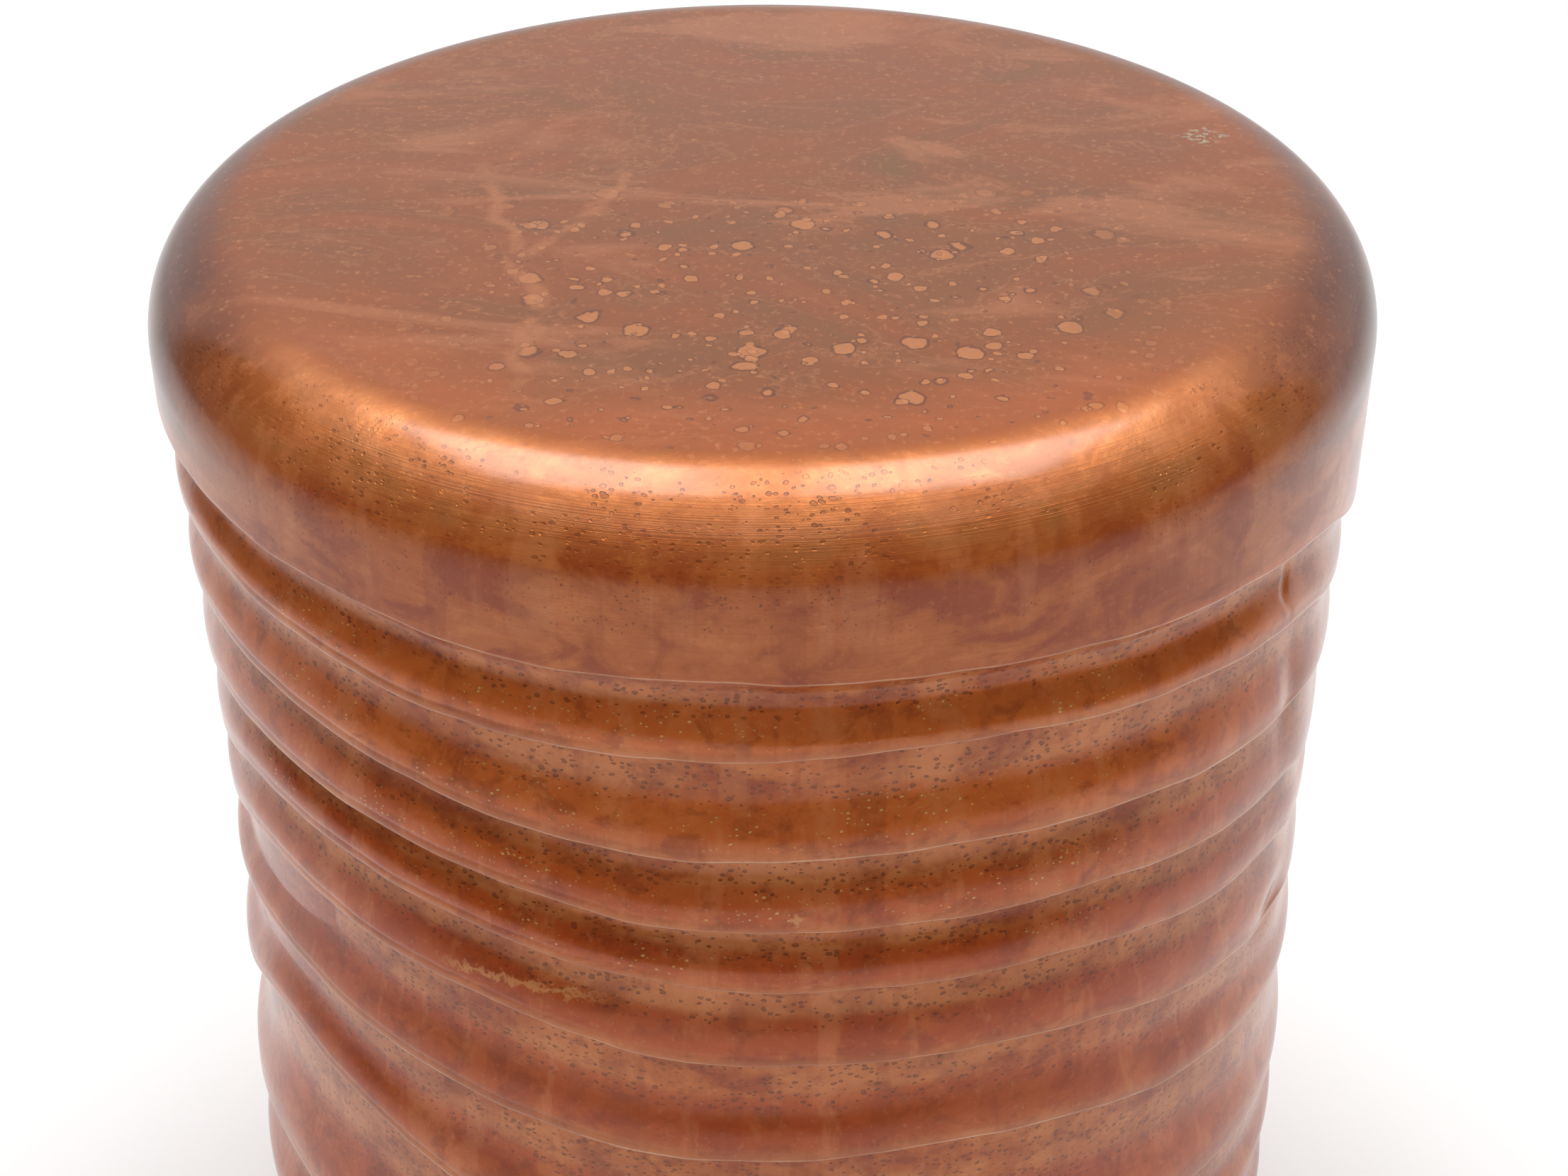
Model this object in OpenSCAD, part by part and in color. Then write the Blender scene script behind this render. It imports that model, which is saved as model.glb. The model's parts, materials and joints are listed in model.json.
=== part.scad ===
// Drum stool / side table: a hollow cast drum with a rounded top, irregular
// horizontal ribs around the side, a closed base and four levelling glides.
// Millimetres, +Z up, origin on the floor at the drum's axis.
// Azimuth 0 is the front (-Y); positive azimuth turns towards +X.

/* [Drum] */
// Outside diameter of the plain band below the top
drum_d = 380; // [360:5:420]
// Height of the top above the floor
total_h = 460; // [445:5:520]
// Radius of the rounded edge of the top
shoulder_r = 30; // [20:1:38]
// Wall thickness of the top casting
top_wall = 5.5; // [4:0.5:7]
// Gap between the floor and the lower edge of the drum
floor_gap = 6; // [5:1:10]

/* [Ribs] */
// Step inwards from the plain band to the lips of the ribs
lip_step = 2.5; // [1.5:0.5:4]
// Depth of the hollow under each rib's lip
hollow_depth = 5; // [3:0.5:6]
// Least wall thickness, behind the hollows
rib_wall = 3; // [2.5:0.5:5]
// Number of flat strips around the ribbed wall
strips = 60; // [48:12:72]

/* [Base] */
// Thickness of the flange ring welded inside the base
flange_t = 6; // [5:1:8]
// Width of the flange ring
flange_w = 39.5; // [38:0.5:50]
// Thickness of the plate that closes the base
plate_t = 3; // [2:0.5:4]
// Number of screws that hold the base plate
screw_count = 6; // [6:6:12]

/* [Glides] */
// Diameter of the glide's threaded stud
stud_d = 8; // [8:1:10]
// Length of stud above the foot
stud_len = 36; // [34:1:45]
// Diameter of the glide's foot
foot_d = 38; // [30:1:40]
// Thickness of the pad under the foot
pad_t = 3; // [2:0.5:4]
// Thickness of the foot
foot_t = 5; // [4:0.5:6]

/* [Hidden] */
$fn = 96;
drum_r = drum_d / 2;
lip_r = drum_r - lip_step;
hollow_r = lip_r - hollow_depth;
bore_r = hollow_r - rib_wall;
weld_gap = 0.02;

// The seam between the shoulder ring and the ribbed wall lies in the plain band.
seam_depth = 43;
seam_z = total_h - seam_depth;
// The top plate is welded to the shoulder ring at this depth, on the rounded edge.
plate_joint_depth = top_wall + 2.5;
plate_joint_z = total_h - plate_joint_depth;
backing_t = 6;
backing_half = 10;
land_h = min(15, seam_depth - shoulder_r - 3);

// Heights of the base hardware, from the floor up.
nut_h = 4;
collar_h = 4;
plate_under_collar = 1;
nut_z = pad_t + foot_t;
collar_z = nut_z + nut_h;
flange_z = collar_z + collar_h;
plate_z = flange_z - plate_t;

glide_count = 4;
glide_ring_r = bore_r - 24.5;
thread_gap = 0.05;
insert_r = stud_d / 2 + 3;
collar_r = insert_r + 4;
insert_above = 8;
nut_across_flats = stud_d + 5;

screw_ring_r = bore_r - 17.5;
screw_r = 2.45;
screw_hole_r = 2.5;
plate_hole_r = 2.75;
washer_r = 6;
washer_t = 1;
screw_head_r = 4.6;
screw_head_h = 2.8;

// Azimuths, in degrees, at which the rib lips' depths are given.
key_az = [-75, -60, -45, -30, -20, -10, 0, 15, 30, 45, 60, 75, 120, 180, 240];

// Depth of each rib lip below the top, in millimetres, at those azimuths. The
// lips wander up and down like the edges of worn strata, and drop to the right.
lip_depths = [
    [47, 47, 49, 52, 54, 54, 54, 55, 57, 60, 65, 79, 81, 66, 53],
    [74, 72, 75, 79, 80, 81, 80, 79, 82, 87, 93, 105, 108, 95, 80],
    [102, 100, 103, 107, 111, 114, 114, 114, 116, 122, 127, 132, 134, 124, 110],
    [132, 128, 128, 130, 134, 138, 139, 140, 142, 150, 157, 168, 165, 150, 137],
    [163, 151, 148, 150, 155, 158, 161, 162, 165, 175, 183, 191, 190, 178, 166],
    [187, 177, 175, 177, 181, 187, 189, 190, 195, 207, 218, 224, 221, 208, 195],
    [218, 214, 214, 218, 222, 226, 227, 226, 232, 243, 252, 257, 253, 241, 228],
    [260, 246, 249, 261, 267, 272, 277, 283, 290, 297, 303, 308, 301, 284, 268],
    [316, 313, 318, 322, 325, 328, 330, 332, 334, 336, 338, 340, 338, 330, 322],
    [358, 356, 360, 363, 366, 368, 370, 372, 374, 377, 380, 382, 380, 372, 364],
    [402, 400, 402, 404, 406, 408, 409, 411, 412, 414, 416, 418, 416, 410, 404]
];
lip_count = len(lip_depths);
edge_depth = total_h - floor_gap;

// One rib from the lip above it to its own lip, as [fraction of the rib's height,
// fraction of the way out from the hollow to the lip].
rib_steps = [[0.05, 0], [0.42, 0.06], [0.78, 0.72], [1, 1]];

// Value at azimuth a of a closed smooth curve through the keys (cubic Hermite).
function wrap_az(i) = key_az[(i + len(key_az)) % len(key_az)]
    + (i < 0 ? -360 : i >= len(key_az) ? 360 : 0);
function wrap_val(v, i) = v[(i + len(v)) % len(v)];
function slope(v, i) = (wrap_val(v, i + 1) - wrap_val(v, i - 1)) / (wrap_az(i + 1) - wrap_az(i - 1));
function segment(a, i = 0) = (i == len(key_az) - 1 || a < key_az[i + 1]) ? i : segment(a, i + 1);
function hermite(p, q, m, n, w, t) =
    p * (2 * t * t * t - 3 * t * t + 1) + q * (3 * t * t - 2 * t * t * t)
    + w * (m * (t * t * t - 2 * t * t + t) + n * (t * t * t - t * t));
function smooth_at(v, a) =
    let (i = segment(a), w = wrap_az(i + 1) - key_az[i])
    hermite(v[i], wrap_val(v, i + 1), slope(v, i), slope(v, i + 1), w, (a - key_az[i]) / w);

// Depth of lip number k at azimuth a; the last one is the drum's lower edge.
function lip_depth(k, a) = k < lip_count ? smooth_at(lip_depths[k], a) : edge_depth;

// One closed ring of points around the drum, at a row of a rib.
function strip_az(j) = key_az[0] + j * 360 / strips;
function ring_point(r, a, depth) = [r * sin(a), -r * cos(a), total_h - depth];
function rib_ring(k, step) = [
    for (j = [0 : strips - 1])
        let (a = strip_az(j), d0 = lip_depth(k, a), d1 = lip_depth(k + 1, a))
        ring_point(hollow_r + hollow_depth * step[1], a, d0 + (d1 - d0) * step[0])
];
function band_ring(inset, above) = [
    for (j = [0 : strips - 1])
        let (a = strip_az(j))
        ring_point(drum_r - inset, a, above < 0 ? seam_depth : lip_depth(0, a) - above)
];
wall_rings = concat(
    [band_ring(0, -1), band_ring(0, 1.5), band_ring(1, 0)],
    [for (k = [0 : lip_count - 1], step = rib_steps) rib_ring(k, step)]
);
ring_total = len(wall_rings);

// The two triangles between one point of ring i and the next ring down.
function wall_triangles(i, j) =
    let (n = (j + 1) % strips, a = i * strips + j, b = i * strips + n)
    [[a, b, b + strips], [a, b + strips, a + strips]];

module at_glide(n) {
    rotate(45 + (n - 1) * 360 / glide_count) translate([glide_ring_r, 0, 0]) children();
}

module around_screws() {
    for (n = [0 : screw_count - 1])
        rotate(n * 360 / screw_count) translate([screw_ring_r, 0, 0]) children();
}

module bolt_circle_holes(glide_hole_r, small_r, z, h) {
    for (n = [1 : glide_count])
        at_glide(n) translate([0, 0, z - 1]) cylinder(r = glide_hole_r, h = h + 2);
    around_screws() translate([0, 0, z - 1]) cylinder(r = small_r, h = h + 2);
}

// Flat top, rounded shoulder and the upper part of the plain band, as one turned shape.
module top_shape() {
    edge_z = total_h - shoulder_r;
    edge_x = drum_r - shoulder_r;
    inner_r = shoulder_r - top_wall;
    rotate_extrude() polygon(concat(
        [[0, total_h - top_wall], [0, total_h]],
        [for (a = [90 : -5 : 0]) [edge_x + shoulder_r * cos(a), edge_z + shoulder_r * sin(a)]],
        [[drum_r, seam_z], [bore_r, seam_z], [bore_r, seam_z + land_h]],
        [for (a = [0 : 6 : 90]) [edge_x + inner_r * cos(a), edge_z + inner_r * sin(a)]]
    ));
}

// The part of the top shape above the plate joint.
module top_cap() {
    color("peru") intersection() {
        top_shape();
        translate([0, 0, plate_joint_z]) cylinder(r = drum_r, h = plate_joint_depth + 1);
    }
}

// The part of the top shape below the plate joint: the shoulder's flank and the band.
module shoulder_ring() {
    color("peru") difference() {
        top_shape();
        translate([0, 0, plate_joint_z]) cylinder(r = drum_r, h = plate_joint_depth + 1);
    }
}

// Ribbed drum wall with a smooth bore.
module body_shell() {
    wall_points = [for (ring = wall_rings, p = ring) p];
    top_face = [for (j = [strips - 1 : -1 : 0]) j];
    bottom_face = [for (j = [0 : strips - 1]) (ring_total - 1) * strips + j];
    wall_faces = [
        for (i = [0 : ring_total - 2], j = [0 : strips - 1], t = wall_triangles(i, j)) t
    ];
    color("peru") difference() {
        polyhedron(wall_points, concat([top_face], wall_faces, [bottom_face]));
        translate([0, 0, floor_gap - 1]) cylinder(r = bore_r, h = total_h, $fn = 360);
    }
}

// Strip rolled into a ring behind the seam, welded to the castings above and below it.
module backing_ring() {
    color("silver") translate([0, 0, seam_z - backing_half]) difference() {
        cylinder(r = bore_r - weld_gap, h = 2 * backing_half);
        translate([0, 0, -1]) cylinder(r = bore_r - backing_t, h = 2 * backing_half + 2);
    }
}

// Flange ring welded inside the base, drilled for the glides and the plate.
module base_ring() {
    color("silver") difference() {
        translate([0, 0, flange_z]) cylinder(r = bore_r - weld_gap, h = flange_t);
        translate([0, 0, flange_z - 1]) cylinder(r = bore_r - flange_w, h = flange_t + 2);
        bolt_circle_holes(insert_r + thread_gap, screw_hole_r, flange_z, flange_t);
    }
}

// Round plate that closes the base.
module base_plate() {
    color("dimgray") difference() {
        translate([0, 0, plate_z]) cylinder(r = bore_r - 0.5, h = plate_t);
        bolt_circle_holes(collar_r + 0.5, plate_hole_r, plate_z, plate_t);
    }
}

// Pan-head screws up through the plate into the flange ring.
module base_screws() {
    color("lightgray") around_screws() rotate_extrude() polygon([
        [0, plate_z - washer_t - screw_head_h],
        [screw_head_r - 1, plate_z - washer_t - screw_head_h],
        [screw_head_r, plate_z - washer_t - screw_head_h + 1],
        [screw_head_r, plate_z - washer_t],
        [screw_r, plate_z - washer_t],
        [screw_r, flange_z + flange_t + 1.5],
        [0, flange_z + flange_t + 1.5]
    ]);
}

module base_washers() {
    color("gainsboro") around_screws() translate([0, 0, plate_z - washer_t]) difference() {
        cylinder(r = washer_r, h = washer_t);
        translate([0, 0, -1]) cylinder(r = plate_hole_r, h = washer_t + 2);
    }
}

// Threaded bushes for the glides, with a collar under the flange ring.
module glide_inserts() {
    color("goldenrod") for (n = [1 : glide_count]) at_glide(n) difference() {
        union() {
            translate([0, 0, collar_z]) cylinder(r = collar_r, h = collar_h);
            translate([0, 0, collar_z]) cylinder(r = insert_r, h = collar_h + flange_t + insert_above);
        }
        translate([0, 0, collar_z - 1])
            cylinder(r = stud_d / 2 + thread_gap, h = collar_h + flange_t + insert_above + 2);
    }
}

// Hexagonal jam nuts under the bushes.
module jam_nuts() {
    color("lightgray") for (n = [1 : glide_count]) at_glide(n) translate([0, 0, nut_z]) difference() {
        cylinder(d = nut_across_flats / cos(30), h = nut_h, $fn = 6);
        translate([0, 0, -1]) cylinder(r = stud_d / 2 + thread_gap, h = nut_h + 2);
    }
}

module glide_stud(n) {
    socket_depth = 3;
    color("lightgray") at_glide(n) translate([0, 0, nut_z - socket_depth])
        rotate_extrude() polygon([
            [0, 0], [stud_d / 2, 0], [stud_d / 2, socket_depth + stud_len - 1],
            [stud_d / 2 - 1, socket_depth + stud_len], [0, socket_depth + stud_len]
        ]);
}

// Moulded foot with a blind socket that the stud is pressed into.
module glide_foot(n) {
    socket_depth = 3;
    rim = foot_d / 2;
    color("darkslategray") at_glide(n) translate([0, 0, pad_t]) rotate_extrude() polygon([
        [0, 0], [rim - 1, 0], [rim, 1], [rim, foot_t - 2], [rim - 3, foot_t],
        [stud_d / 2 + weld_gap, foot_t], [stud_d / 2 + weld_gap, foot_t - socket_depth],
        [0, foot_t - socket_depth]
    ]);
}

module glide_pad(n) {
    color("dimgray") at_glide(n) cylinder(d = foot_d - 4, h = pad_t);
}

top_cap();
shoulder_ring();
body_shell();
backing_ring();
base_ring();
base_plate();
base_screws();
base_washers();
glide_inserts();
jam_nuts();
glide_stud(1);  // glide_stud_1
glide_stud(2);  // glide_stud_2
glide_stud(3);  // glide_stud_3
glide_stud(4);  // glide_stud_4
glide_foot(1);  // glide_foot_1
glide_foot(2);  // glide_foot_2
glide_foot(3);  // glide_foot_3
glide_foot(4);  // glide_foot_4
glide_pad(1);  // glide_pad_1
glide_pad(2);  // glide_pad_2
glide_pad(3);  // glide_pad_3
glide_pad(4);  // glide_pad_4
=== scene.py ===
"""Looks for the cast-metal drum stool: patinated castings, base hardware, a pale studio."""
import json
import math

import bpy
import numpy as np
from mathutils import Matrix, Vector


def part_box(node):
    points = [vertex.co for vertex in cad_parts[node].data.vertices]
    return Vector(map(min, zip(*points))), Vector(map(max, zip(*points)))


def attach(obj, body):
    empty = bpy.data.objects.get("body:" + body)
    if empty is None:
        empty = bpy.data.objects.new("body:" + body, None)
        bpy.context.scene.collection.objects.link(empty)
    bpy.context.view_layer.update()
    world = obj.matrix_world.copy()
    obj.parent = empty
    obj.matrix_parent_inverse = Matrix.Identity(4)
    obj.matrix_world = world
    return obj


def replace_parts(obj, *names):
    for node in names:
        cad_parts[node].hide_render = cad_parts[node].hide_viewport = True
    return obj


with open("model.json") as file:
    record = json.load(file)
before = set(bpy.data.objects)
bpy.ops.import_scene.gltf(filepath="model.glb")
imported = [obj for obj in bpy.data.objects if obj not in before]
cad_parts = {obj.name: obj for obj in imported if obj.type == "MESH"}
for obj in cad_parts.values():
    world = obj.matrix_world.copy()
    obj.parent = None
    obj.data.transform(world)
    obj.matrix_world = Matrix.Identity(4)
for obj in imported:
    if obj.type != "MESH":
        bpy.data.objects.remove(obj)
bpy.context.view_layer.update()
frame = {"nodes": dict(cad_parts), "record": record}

# ---------------------------------------------------------------- sizes, in metres
MM = 0.001
RING_LOW, RING_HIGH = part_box("base_ring")
TOP_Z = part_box("top_cap")[1].z
SEAM_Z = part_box("shoulder_ring")[0].z
EDGE_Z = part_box("body_shell")[0].z
BAND_R = 190 * MM
SHOULDER_R = 30 * MM
TOP_WALL = 5.5 * MM
LIP_R = BAND_R - 2.2 * MM
BORE_R = RING_HIGH.x
COLUMNS = 900
SHARP_DEGREES = 42

# Azimuth 0 is the front (-Y); positive azimuth turns towards +X.
KEY_AZ = [-75, -60, -45, -30, -20, -10, 0, 15, 30, 45, 60, 75, 120, 180, 240]

# Depth of each rib lip below the top, in millimetres, at those azimuths. Up to 75 degrees the first
# seven rows, and the eighth from -75 to -30, were worked out from measurements by a separate script,
# then rounded, with a few changed by hand. All other numbers were chosen one by one.
LIP_DEPTHS = [
    [47, 47, 49, 52, 54, 54, 54, 55, 57, 60, 65, 79, 81, 66, 53],
    [74, 72, 75, 79, 80, 81, 80, 79, 82, 87, 93, 105, 108, 95, 80],
    [102, 100, 103, 107, 111, 114, 114, 114, 116, 122, 127, 132, 134, 124, 110],
    [132, 128, 128, 130, 134, 138, 139, 140, 142, 150, 157, 168, 165, 150, 137],
    [163, 151, 148, 150, 155, 158, 161, 162, 165, 175, 183, 191, 190, 178, 166],
    [187, 177, 175, 177, 181, 187, 189, 190, 195, 207, 218, 224, 221, 208, 195],
    [218, 214, 214, 218, 222, 226, 227, 226, 232, 243, 252, 257, 253, 241, 228],
    [260, 246, 249, 261, 267, 272, 277, 283, 290, 297, 303, 308, 301, 284, 268],
    [316, 313, 318, 322, 325, 328, 330, 332, 334, 336, 338, 340, 338, 330, 322],
    [358, 356, 360, 363, 366, 368, 370, 372, 374, 377, 380, 382, 380, 372, 364],
    [402, 400, 402, 404, 406, 408, 409, 411, 412, 414, 416, 418, 416, 410, 404],
]

# Depth of the hollows under the lips at the same azimuths, in millimetres.
HOLLOWS = [5.0, 5.2, 5.0, 4.8, 4.6, 4.5, 4.5, 4.5, 4.4, 4.3, 2.9, 2.2, 3.0, 4.6, 5.0]

# Where each rib's flare starts and ends, as shares of the rib's height.
FLARES = [(0.33, 0.90), (0.30, 0.93), (0.06, 0.88), (0.08, 0.84), (0.12, 0.88), (0.42, 0.96),
          (0.45, 0.95), (0.45, 0.93), (0.40, 0.90), (0.35, 0.90), (0.30, 0.90)]

# Most that the drum is narrowed at its left and right sides, in millimetres.
WAIST_LEFT = 4.6
WAIST_RIGHT = 3.0

# Rows of points in a rib, in millimetres below its upper lip and above its lower lip.
ROWS_UNDER_LIP = (0.25, 0.55, 0.8, 1.1, 1.5, 2.1, 3.0)
ROWS_ABOVE_LIP = (6.0, 5.0, 4.4, 3.9, 3.5, 3.0, 2.2, 1.6, 1.2, 0.9, 0.6, 0.35, 0.15, 0.0)
STEPS_BETWEEN = 16


# ---------------------------------------------------------------- small helpers
def smoothstep(low, high, x):
    t = np.clip((x - low) / (high - low), 0, 1)
    return t * t * (3 - 2 * t)


def closed_curve(values, az):
    """A smooth closed curve through values at KEY_AZ (cubic Hermite), at azimuths az."""
    keys = np.array([KEY_AZ[-1] - 360] + KEY_AZ + [KEY_AZ[0] + 360, KEY_AZ[1] + 360], float)
    vals = np.array([values[-1]] + list(values) + [values[0], values[1]], float)
    slopes = (vals[2:] - vals[:-2]) / (keys[2:] - keys[:-2])
    i = np.clip(np.searchsorted(keys, az, side="right") - 1, 1, len(keys) - 3)
    w = keys[i + 1] - keys[i]
    t = (az - keys[i]) / w
    m, n = slopes[i - 1], slopes[i]
    return (vals[i] * (2 * t**3 - 3 * t**2 + 1) + vals[i + 1] * (3 * t**2 - 2 * t**3)
            + w * (m * (t**3 - 2 * t**2 + t) + n * (t**3 - t**2)))


def waves(az, terms):
    """A sum of closed waves around the drum: terms are (lobes, height, phase in degrees)."""
    a = np.radians(az)
    return sum(h * np.sin(n * a + math.radians(p)) for n, h, p in terms)


def mesh_piece(name, points, faces, body, material, smooth=True):
    mesh = bpy.data.meshes.new(name)
    mesh.from_pydata([tuple(p) for p in points], [], [tuple(f) for f in faces])
    mesh.validate()
    mesh.polygons.foreach_set("use_smooth", [smooth] * len(mesh.polygons))
    mesh.materials.append(material)
    if smooth:
        mesh.set_sharp_from_angle(angle=math.radians(SHARP_DEGREES))
    piece = bpy.data.objects.new(name, mesh)
    bpy.context.scene.collection.objects.link(piece)
    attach(piece, body)
    return piece


# ---------------------------------------------------------------- the castings' shape
AZ = KEY_AZ[0] + np.arange(COLUMNS) * 360.0 / COLUMNS
AZ_SIGNED = (AZ + 180) % 360 - 180


def around(value):
    """The same value for every column of points round the drum."""
    return np.full(COLUMNS, float(value))


def bell(x, middle, width):
    return np.exp(-(((x - middle) / width) ** 2))


def waist(depth):
    """How far the drum is narrowed at its sides, in millimetres."""
    away = np.abs(AZ_SIGNED)
    side = smoothstep(25, 60, away) * (1 - smoothstep(110, 150, away))
    left, right = WAIST_LEFT * bell(depth, 190, 90), WAIST_RIGHT * bell(depth, 200, 70)
    return side * np.where(AZ_SIGNED < 0, left, right)


def lip_radius(depth):
    """Radius of the lips, in millimetres."""
    return LIP_R / MM - waist(depth) + waves(AZ, [(4, 0.12, 30), (7, 0.10, 200)])


def hollow_depth(rib):
    """Depth of the hollow under a rib's upper lip, around the drum, in millimetres."""
    own = [(2, 0.25, 40 * rib), (3, 0.25, 75 * rib), (5, 0.15, 140 * rib), (9, 0.10, 65 * rib)]
    return closed_curve(HOLLOWS, AZ) + waves(AZ, own)


def lip_line(rib):
    """Depth of a lip below the top, with the small waver of a cast edge."""
    small = [(13, 0.28, 50 * rib), (22, 0.20, 110 * rib), (37, 0.13, 170 * rib), (61, 0.08, 20 * rib)]
    return closed_curve(LIP_DEPTHS[rib], AZ) + waves(AZ, small)


def pleat(depth):
    """Shallow dents near the right side, where the ribs were pinched together."""
    crease = 0.9 * bell(depth, 77, 8) * bell(AZ, 55.5 + 0.5 * np.sin(depth / 2.2), 0.5)
    fold = 1.2 * bell(depth, 122, 16) * bell(AZ, 59.5 + 0.05 * (depth - 122), 2.2)
    swell = 0.9 * bell(depth, 150, 60) * bell(AZ, 66, 5.0)
    pocket = 2.4 * bell(depth, 217, 9) * bell(AZ, 65, 4.5)
    return crease + fold + pocket - swell


def rib_rows(rib, upper, lower):
    """Rows of one rib: (depth in mm, radius in mm, position in the rib from 0 to 1)."""
    height = lower - upper
    hollow = hollow_depth(rib)
    start, end = FLARES[rib]
    start = start + waves(AZ, [(3, 0.04, 50 * rib), (4, 0.04, 20 * rib), (11, 0.02, 90 * rib)])
    end = end - 0.05 + waves(AZ, [(3, 0.03, 130 * rib), (5, 0.02, 70 * rib)])
    under, edge_round, edge_inset = 0.8, 1.3, 0.7
    rows = [upper + mm for mm in ROWS_UNDER_LIP]
    first, last = rows[-1], lower - ROWS_ABOVE_LIP[0]
    rows += [first + (last - first) * step / STEPS_BETWEEN for step in range(1, STEPS_BETWEEN)]
    rows += [lower - mm for mm in ROWS_ABOVE_LIP]
    above, below = lip_radius(upper), lip_radius(lower)
    made = []
    for depth in rows:
        x = (depth - upper) / height
        lip = above + (below - above) * x
        r = lip - hollow + hollow * smoothstep(start, end, x)
        # the face under the lip above is nearly level and runs into the hollow
        q = np.clip((depth - upper) / under, 0, 1)
        r = r + (hollow - edge_inset) * (1 - q) ** 2 * (q < 1)
        # a faint second line above the lip at the front left
        line = 0.26 * bell(AZ, -32, 24) + waves(AZ, [(7, 0.04, 100 * rib)])
        r = r - line * bell(depth, lower - 3.6, 0.7)
        # the lip's own edge is rounded over
        g = np.clip((depth - (lower - edge_round)) / edge_round, 0, 1)
        r = r - edge_inset * (1 - np.sqrt(1 - 0.97 * g * g))
        r = r - pleat(depth) * smoothstep(0.02, 0.12, x) * (1 - 0.5 * smoothstep(0.93, 1.0, x))
        made.append((depth, r, x))
    return made


def band_rows():
    """Rows of the plain band from the seam to its lower lip."""
    first = lip_line(0)
    seam = (TOP_Z - SEAM_Z) / MM
    band = BAND_R / MM
    edge_round = 1.6
    rows = []
    for share in (0, 0.35, 0.7, 1):
        rows.append((seam + (first - edge_round - seam) * share, around(band), around(0.6)))
    for mm, inset in ((1.2, 0.05), (0.8, 0.2), (0.4, 0.5), (0.15, 0.9), (0.0, 1.3)):
        rows.append((first - mm, around(band - inset), around(1)))
    return rows


def step_rows(upper, lower):
    """The first rib, under the band: only a shallow step, then a hollow and a flare."""
    hollow = hollow_depth(0)
    step = 2.0 + 1.6 * smoothstep(30, 55, np.abs(AZ))
    rows = []
    for depth, r, x in rib_rows(0, upper, lower):
        near = 1 - smoothstep(0.0, 0.30, x)
        rows.append((depth, r + (hollow - step) * near * (depth > upper + 0.5), x))
    return rows


def ring_points(depth, radius):
    """Points of one row, from its depth and radius in millimetres."""
    a = np.radians(AZ)
    z = TOP_Z - depth * MM
    return np.stack([radius * MM * np.sin(a), -radius * MM * np.cos(a), np.broadcast_to(z, a.shape)], 1)


def stitch(rows, faces, columns=COLUMNS):
    """Quads between neighbouring rows; the rows close on themselves around the drum."""
    j = np.arange(columns)
    n = (j + 1) % columns
    for upper, lower in rows:
        a, b = upper * columns, lower * columns
        faces.extend(np.stack([a + j, b + j, b + n, a + n], 1).tolist())


def shade_by_rib(piece, values):
    """Keeps each point's place in its rib for the finish."""
    layer = piece.data.attributes.new("rib_place", "FLOAT", "POINT")
    layer.data.foreach_set("value", values.astype(np.float32))


def wall_skin(material):
    """The lower band and the ribbed wall, with its plain bore."""
    edge = around((TOP_Z - EDGE_Z) / MM)
    lips = [lip_line(rib) for rib in range(len(LIP_DEPTHS))] + [edge]
    rows = band_rows() + step_rows(lips[0], lips[1])
    for rib in range(1, len(lips) - 1):
        rows += rib_rows(rib, lips[rib], lips[rib + 1])
    points = [ring_points(d, r) for d, r, x in rows]
    shade = [x for d, r, x in rows]
    bore = BORE_R / MM
    inner = [(edge[0], bore + 2.0), (edge[0] - 1, bore), (edge[0] - 60, bore), (edge[0] - 200, bore),
             ((TOP_Z - SEAM_Z) / MM, bore)]
    for d, r in inner:
        points.append(ring_points(d, around(r)))
        shade.append(around(0.5))
    faces = []
    count = len(points)
    stitch([(i, i + 1) for i in range(count - 1)] + [(count - 1, 0)], faces)
    piece = mesh_piece("drum_wall", np.concatenate(points), faces, "drum", material)
    shade_by_rib(piece, np.concatenate(shade))
    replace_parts(piece, "body_shell")


def top_skin(material):
    """Top, rounded shoulder and upper band, closed underneath."""
    flat_r = (BAND_R - SHOULDER_R) / MM
    shoulder = SHOULDER_R / MM
    wall = TOP_WALL / MM
    seam = (TOP_Z - SEAM_Z) / MM
    backing = 14
    outline = [(r, 0.0) for r in (2, 20, 50, 80, 110, 140, 156)]
    outline += [(flat_r + shoulder * math.sin(a), shoulder * (1 - math.cos(a)))
                for a in np.radians(np.arange(0, 91, 2.5))]
    outline += [(BAND_R / MM, seam * 0.8), (BAND_R / MM, seam)]
    outline += [(BORE_R / MM, seam), (BORE_R / MM, seam - backing)]
    outline += [(flat_r + (shoulder - wall) * math.cos(a), shoulder - (shoulder - wall) * math.sin(a))
                for a in np.radians(np.arange(0, 91, 10))]
    outline += [(100, wall), (2, wall)]
    points = [ring_points(d, around(r)) for r, d in outline]
    faces = []
    stitch([(i, i + 1) for i in range(len(points) - 1)], faces)
    last = (len(points) - 1) * COLUMNS
    faces.append(list(range(COLUMNS)))
    faces.append([last + j for j in range(COLUMNS)][::-1])
    piece = mesh_piece("drum_top", np.concatenate(points), faces, "drum", material)
    shade_by_rib(piece, np.full(len(piece.data.vertices), 0.6))
    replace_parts(piece, "top_cap", "shoulder_ring")


# ---------------------------------------------------------------- base hardware
STUD_R = 4.0 * MM
BORE_CLEARANCE = 0.05 * MM
HOLE_R = STUD_R + BORE_CLEARANCE
PITCH = 1.25 * MM
SCREWS = 6


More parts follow.
